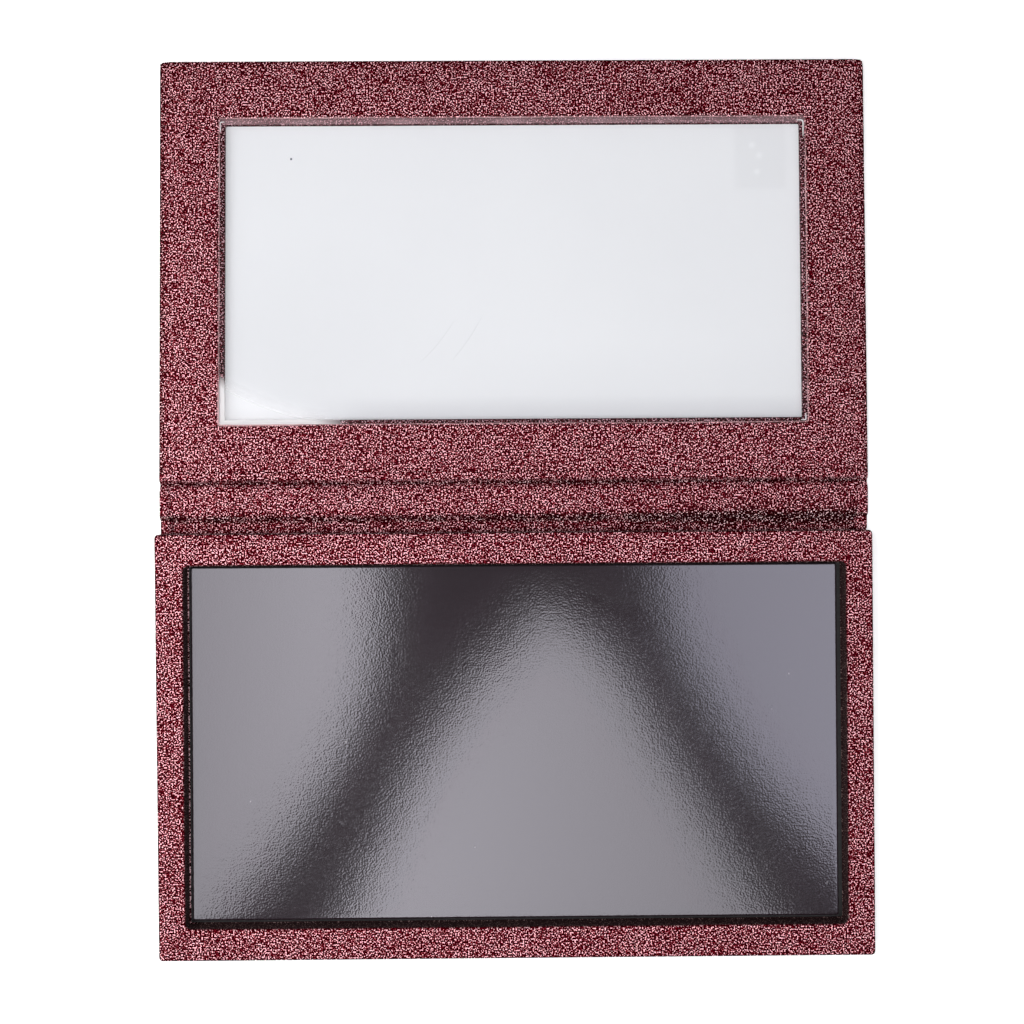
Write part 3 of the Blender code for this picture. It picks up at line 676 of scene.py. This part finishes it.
# Name, surface, thickness, the two bodies, where the paper bends and the nodes replaced
tray_groove, cover_groove = (tray_back, -3.2 * mm), (4.8 * mm, cover_back)
fold_pieces = [
    ("fold_lining_tray", lining_strip(-10.0 * mm, spine_seam), lining_paper, "base", "spine",
     tray_groove, ("base_hinge_liner", "spine_liner")),
    ("fold_lining_cover", lining_strip(spine_seam, cover_seam), lining_paper, "spine", "cover",
     cover_groove, ("spine_liner",)),
    ("fold_jacket_tray", jacket_strip(tray_seam, spine_seam), 0.2 * mm, "base", "spine",
     tray_groove, ("spine_wrap",)),
    ("fold_jacket_cover", jacket_strip(spine_seam, cover_seam), 0.2 * mm, "spine", "cover",
     cover_groove, ("spine_wrap",)),
]
for name, (points, marks), thick, first, second, (begin, end), stands_for in fold_pieces:
    fold = piece(name, [(points, False, marks)], glitter, thickness=thick)
    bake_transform(fold)
    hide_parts(*stands_for)


# ---------------------------------------------------------------- cover

def round_corners(points):
    """Draws points near the cover's two free corners in, in place, so that each square corner
    becomes a quarter circle: distances from the circle's middle are scaled by the larger of the
    two distances along X and Y over the straight one."""
    x, y = points[..., 0], points[..., 1]
    radius = 1.4 * mm
    aside = np.maximum(np.abs(x) - (half_width - radius), 0)
    ahead = np.maximum(y - (cover_front - radius), 0)
    scale = np.maximum(aside, ahead) / np.maximum(np.hypot(aside, ahead), 1e-9)
    both = (aside > 0) & (ahead > 0)
    points[..., 0] = np.where(both, x - np.sign(x) * aside * (1 - scale), x)
    points[..., 1] = np.where(both, y - ahead * (1 - scale), y)


def lean_window(points):
    """Moves points near the window's left and right sides by up to 0.4 mm, in place: both sides
    lean outwards towards the spine, by an amount that runs evenly along Y and fades out over
    4 mm."""
    x, y = points[..., 0], points[..., 1]
    share = np.clip((y - window_back) / (window_front - window_back), 0, 1)
    near = 1 - smooth_step(np.abs(np.abs(x) - window_half_width), 1.3 * mm, 4.5 * mm)
    move = np.where(x < 0, -0.40 + 0.80 * share, 0.40 - 0.35 * share) * mm
    points[..., 0] = x + near * move


def cover_lining_shape():
    """The lining around the window: underside, outer cut edge, top, then the window's edge, pressed
    down with its pale core showing. The rows go all the way round the sheet's section, and the
    window's edge wavers by a tenth. The outer cut edge and the bend towards the window carry
    painted shade, and near the window's left corner by the spine its pale core is painted lighter,
    as a painted reflection."""
    outer = (-half_width + 1.0 * mm, half_width - 1.0 * mm, cover_seam, cover_front - 1.0 * mm)
    window = (-window_half_width, window_half_width, window_back, window_front)
    under = cover_top - lining_paper
    keys = [
        (*window, 0.5 * mm, under, 14),
        (*outer, 0.3 * mm, under, 1),
        (*outer, 0.3 * mm, cover_top, 22),
        (*grown(*window, 0.60 * mm), 0.9 * mm, cover_top, 1),
        (*grown(*window, 0.30 * mm), 0.7 * mm, cover_top - 0.03 * mm, 1),
        (*grown(*window, 0.16 * mm), 0.6 * mm, cover_top - 0.09 * mm, 1),
        (*grown(*window, 0.02 * mm), 0.5 * mm, cover_top - 0.19 * mm, 1),
        (*window, 0.5 * mm, under, 1),
    ]
    points = loop_rows(keys, 150, 90)
    x, y, z = points[..., 0].copy(), points[..., 1].copy(), points[..., 2]
    points[..., 2] = z - cover_droop(x, y) + 0.03 * mm * (ripple(x, y, 26 * mm, 31) - 1)
    loose = np.zeros((len(points), 1))
    loose[[0, -1, -2, -3, -4]] = [[1.0], [1.0], [1.0], [1.0], [0.6]]
    waver = loose * (0.10 * mm * ripple(x, y, 20 * mm, 33) + 0.05 * mm * ripple(x, y, 4 * mm, 34))
    points[..., 0] += waver * (np.abs(x) > window_half_width - 1 * mm)
    points[..., 1] += waver * ((y < window_back + 1 * mm) | (y > window_front - 1 * mm))
    cut = np.zeros(points.shape[:2])
    cut[-5:] = [[0.0], [0.15], [0.85], [1.0], [0.9]]
    cut = cut * (0.55 + 0.6 * ripple(x, y, 9 * mm, 35) + 0.2 * ripple(x, y, 2.5 * mm, 36))
    # Painted reflection: the pale core is painted lighter near the window's left corner by the
    # spine.
    from_glare_corner = np.maximum(np.abs(x + window_half_width) / 2.4, np.abs(y - window_back))
    cut[-4:] += 0.6 * (1 - smooth_step(from_glare_corner, 8 * mm, 11 * mm))[-4:]
    lean_window(points)
    # Painted shade on the bend towards the window and on the outer cut edge.
    valley = np.zeros(points.shape[:2])
    valley[-5] = 0.45
    outer_row = keys[0][6]
    valley[outer_row:outer_row + 3] = [[0.6], [0.5], [0.2]]
    round_corners(points)
    spread(points, cover_front, cover_left_lean, cover_right_lean)
    return points, {"cut_edge": np.clip(cut, 0, 1), "valley": valley}


lining_grid, lining_marks = cover_lining_shape()
cover_lining = piece("cover_lining", [(lining_grid, True, lining_marks)], glitter, "cover")
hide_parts("cover_liner")


def cover_jacket_shape():
    """The wrap round the cover board: in over the board around the window, down through the
    window's opening, flat below, up the three free edges and in over the top. The bends carry
    painted shade, and the band behind the window is paler in patches, a painted sheen of the film
    over it."""
    opening = (-aperture_half_width, aperture_half_width, aperture_back, aperture_front)
    flat = (wrap_bend - half_width, half_width - wrap_bend, cover_seam, cover_front - wrap_bend)
    top = cover_edge_top
    keys = [
        (*grown(*opening, 6.0 * mm), 0.6 * mm, top, 5),
        (*grown(*opening, 0.45 * mm), 0.8 * mm, top, 1),
        (*grown(*opening, 0.20 * mm), 0.7 * mm, top - 0.06 * mm, 1),
        (*grown(*opening, 0.05 * mm), 0.6 * mm, top - 0.18 * mm, 1),
        (*opening, 0.5 * mm, top - 0.40 * mm, 3),
        (*opening, 0.5 * mm, 0.36 * mm, 1),
        (*grown(*opening, 0.12 * mm), 0.6 * mm, 0.10 * mm, 1),
        (*grown(*opening, 0.40 * mm), 0.7 * mm, 0.0, 8),
        (*flat, 0.0, 0.0, 1),
    ]
    inner = loop_rows(keys)
    x, y, z = inner[..., 0].copy(), inner[..., 1].copy(), inner[..., 2]
    # Painted shade on the wall of the window's opening.
    opening_shade = smooth_step(top - z, 0.02 * mm, 0.20 * mm) * smooth_step(z, 0.0, 0.2 * mm)
    turns = turned_edge(top / mm, 8.0)
    keys = [(flat[0] - reach * mm, flat[1] + reach * mm, cover_seam - max(reach, 0) * mm,
             flat[3] + reach * mm, max(reach, 0) * mm, height * mm, 1)
            for reach, height, mark in turns]
    side_mark = np.array([[mark] for reach, height, mark in turns])
    lean_window(inner)
    side = open_loop(loop_rows(keys))
    for part in (inner, side):
        round_corners(part)
        spread(part, cover_front, cover_left_lean, cover_right_lean)
    # Painted sheen: the band behind the window is paler in patches, for the film over it.
    film_sheen = 0.42 * smooth_step(y, aperture_front - 0.2 * mm, aperture_front + 0.1 * mm)
    film_sheen = film_sheen * (1 + 0.6 * ripple(x, y, 17 * mm, 41)) * (z > top - 0.3 * mm)
    return inner, {"valley": opening_shade * 0.6, "cut_edge": film_sheen}, side, {"valley": side_mark}


inner_grid, inner_marks, edge_grid, edge_marks = cover_jacket_shape()
cover_jacket = piece("cover_jacket", [(inner_grid, True, inner_marks),
                                      (edge_grid, False, edge_marks)],
                     glitter, "cover", wrap_paper)
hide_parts("cover_wrap")


def curled_strip(start, corner, end, width, height):
    """A narrow strip of film that has curled up at a corner of the window: half an ellipse as wide
    and high as told, carried from the start to the corner and on to the end. The path's bend is
    rounded by taking the mean of the places up to a tenth of the way before and behind. The strip
    runs out to nothing at both ends."""
    share = np.linspace(0, 1, 41)[:, None]
    start, corner, end = (np.array(place) * mm for place in (start, corner, end))
    first = np.linalg.norm(corner - start) / (
        np.linalg.norm(corner - start) + np.linalg.norm(end - corner))

    def straight(t):
        """Places on the unrounded path, from its shares t between 0 and 1."""
        on_first = start + (corner - start) * np.clip(t / first, 0, 1)
        return on_first + (end - corner) * np.clip((t - first) / (1 - first), 0, 1)

    steps = np.linspace(-0.1, 0.1, 9)
    path = sum(straight(share * 0.8 + 0.1 + step) for step in steps) / len(steps)
    along = np.gradient(path, axis=0)
    along = along / np.linalg.norm(along, axis=1, keepdims=True)
    across = np.stack((along[:, 1], -along[:, 0]), -1)
    fade = np.clip(np.sin(np.pi * share), 0, 1) ** 0.35
    angle = np.linspace(0, np.pi, 9)[None]
    side = np.cos(angle) * fade * width * mm / 2
    x = path[:, :1] - across[:, :1] * side
    y = path[:, 1:] - across[:, 1:] * side
    z = film_top - 0.04 * mm + np.sin(angle) * fade * height * mm
    return np.stack((x, y, z), -1)


# Start, corner and end of each curl, then its width and height, in millimetres
curls = [
    ((-80.6, 108.95), (-82.5, 108.9), (-82.3, 105.4), 0.36, 0.22),
    ((79.6, 108.75), (82.6, 108.9), (82.5, 103.2), 0.42, 0.24),
    ((80.9, 23.85), (82.8, 23.8), (82.75, 26.2), 0.36, 0.20),
]
film_curls = piece("film_curls", [(curled_strip(*curl), False, {}) for curl in curls], curled_edge,
                   "cover", 0.02 * mm)


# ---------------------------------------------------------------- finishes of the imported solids

node_finish = {
    "base_board": greyboard, "spine_board": greyboard, "cover_board": greyboard,
    "tray_wall_front": greyboard, "tray_wall_back": greyboard, "tray_wall_left": greyboard,
    "tray_wall_right": greyboard, "tray_floor_paper": black_paper, "sheet_adhesive": adhesive,
    "magnetic_sheet": rubber, "window_film": film, "tray_magnet_left": magnet,
    "tray_magnet_right": magnet, "cover_magnet_left": magnet, "cover_magnet_right": magnet,
}
for name, finish in node_finish.items():
    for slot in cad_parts[name].material_slots:
        slot.material = finish


# ---------------------------------------------------------------- table, lights and camera

def light_panel(name, outline, height, strengths, colour=(1.0, 1.0, 1.0)):
    """A flat softbox: an outline in metres at a height above the table, facing down. Its glow runs
    evenly from the first strength at its left end to the second at its right end. The camera
    does not see it."""
    mesh = bpy.data.meshes.new(name)
    corners = [(x, y, height) for x, y in outline]
    mesh.from_pydata(corners, [], [list(range(len(corners)))[::-1]])
    material, tree, output = new_material(name)
    across = node(tree, "SeparateXYZ", {0: node(tree, "TexCoord").outputs["Object"]}).outputs[0]
    strength = between(tree, across, min(x for x, y in outline), max(x for x, y in outline),
                       *strengths)
    glow = node(tree, "Emission", {"Color": (*colour, 1), "Strength": strength})
    tree.links.new(glow.outputs[0], output.inputs[0])
    mesh.materials.append(material)
    panel = new_object(name, mesh)
    panel.visible_camera = False


eye = Vector((-3.272 * mm, -2.325 * mm, 360.0 * mm))
panel_height = 800.0 * mm
panel_scale = (1 + (panel_height - sheet_top) / (eye.z - sheet_top)) / 2
room_light = 0.33  # strength of the plain light from all round


def seen_outline(places):
    """Corners of a softbox from where they mirror: places in millimetres beside the camera, at its
    own height, moved out along their rays to the softboxes' height."""
    return [(eye.x + x * mm * panel_scale, eye.y + y * mm * panel_scale) for x, y in places]


light_panel("left_softbox", seen_outline([
    (-72, -25), (-74, 10), (-98, 54), (-130, 64), (-158, 72), (-240, 86), (-240, -262),
    (-172, -262), (-155, -222), (-135, -199), (-119, -177), (-108, -158), (-94, -138), (-86, -120),
    (-79, -105), (-75, -90), (-73, -70), (-72, -45)]), panel_height, (4.1, 7.6))
light_panel("right_softbox", seen_outline([
    (89, -27), (92, -49), (98, -72), (109, -94), (123, -117), (137, -140), (156, -163), (178, -185),
    (200, -208), (228, -231), (240, -245), (240, 40), (80, 40)]), panel_height, (4.45, 5.6),
    (0.96, 0.97, 1.05))
light_panel("front_softbox", seen_outline([
    (18, -50), (10, -71), (-12, -88), (-24, -105), (-40, -127), (-52, -150), (-62, -172),
    (-73, -194), (-84, -222), (-104, -262), (166, -262), (142, -224), (127, -196), (114, -173),
    (101, -151), (86, -128), (76, -105), (66, -89), (48, -68)]), panel_height, (7.8, 4.3))
light_panel("studio_ceiling", [(-0.62, -0.62), (0.62, -0.62), (0.62, 0.62), (-0.62, 0.62)],
            panel_height + 20 * mm, (room_light, room_light))


def area_lamp(name, place, size, power):
    """A rectangular lamp that points at the middle of the case."""
    data = bpy.data.lights.new(name, "AREA")
    data.shape, data.size, data.size_y, data.energy = "RECTANGLE", size[0], size[1], power
    lamp = new_object(name, data)
    lamp.location = place
    lamp.rotation_euler = (-Vector(place)).to_track_quat("-Z", "Y").to_euler()
    lamp.visible_camera = False


area_lamp("left_lamp", (-0.34, 0.02, 0.27), (0.20, 0.30), 0.92)


def seen_share(tree):
    """1 where the surroundings are seen, straight on, mirrored or through something clear, and 0
    where they only light the case."""
    path = node(tree, "LightPath").outputs
    seen = math_node(tree, "MAXIMUM", path["Is Camera Ray"], path["Is Glossy Ray"])
    return math_node(tree, "MAXIMUM", seen, path["Is Transmission Ray"])


def white_table():
    """Matte white, with a glow that only the camera sees and that lifts it to plain white: most
    far out and beside the case, less under the window, so that the case keeps its shadow."""
    material, tree, output = new_material("white_table")
    matte = node(tree, "BsdfDiffuse", {"Color": (0.80, 0.80, 0.80, 1)})
    place = node(tree, "TexCoord").outputs["Object"]
    from_middle = node(tree, "VectorMath", {0: place}, operation="LENGTH").outputs["Value"]
    sideways = math_node(tree, "ABSOLUTE", node(tree, "SeparateXYZ", {0: place}).outputs[0])
    beside = between(tree, sideways, 0.099, 0.108, 0.36, 0.46)
    white = math_node(tree, "MAXIMUM", between(tree, from_middle, 0.20, 1.4, 0.36, 0.74), beside)
    strength = math_node(tree, "MULTIPLY", seen_share(tree), white)
    glow = node(tree, "Emission", {"Strength": strength})
    both = node(tree, "AddShader", {0: matte.outputs[0], 1: glow.outputs[0]})
    tree.links.new(both.outputs[0], output.inputs[0])
    return material


table_reach = 6.0
table_mesh = bpy.data.meshes.new("table_top")
table_mesh.from_pydata([(-table_reach, -table_reach, 0), (table_reach, -table_reach, 0),
                        (table_reach, table_reach, 0), (-table_reach, table_reach, 0)],
                       [], [(0, 1, 2, 3)])
table_mesh.materials.append(white_table())
table_top = new_object("table_top", table_mesh)

world = bpy.data.worlds.new("studio")
bpy.context.scene.world = world
world.use_nodes = True
tree = world.node_tree
tree.nodes.clear()
strength = between(tree, seen_share(tree), 0.0, 1.0, room_light, 1.0)
background = node(tree, "Background", {"Color": (1, 1, 1, 1), "Strength": strength})
tree.links.new(background.outputs[0], node(tree, "OutputWorld").inputs[0])

# The photograph is taken from straight above, but for a few tenths of a degree about each axis
sensor, focal_pixels, picture_pixels = 36.0, 1263.436, 1024
camera_data = bpy.data.cameras.new("camera")
camera_data.sensor_width = sensor
camera_data.lens = sensor * focal_pixels / picture_pixels
camera_data.clip_start, camera_data.clip_end = 0.01, 20
turn = (Matrix.Rotation(np.radians(0.083), 4, "X") @ Matrix.Rotation(np.radians(-0.409), 4, "Y")
        @ Matrix.Rotation(np.radians(-0.393), 4, "Z"))
camera = new_object("camera", camera_data)
camera.matrix_world = Matrix.Translation(eye) @ turn
bpy.context.scene.camera = camera
bpy.context.scene.view_settings.view_transform = "Standard"
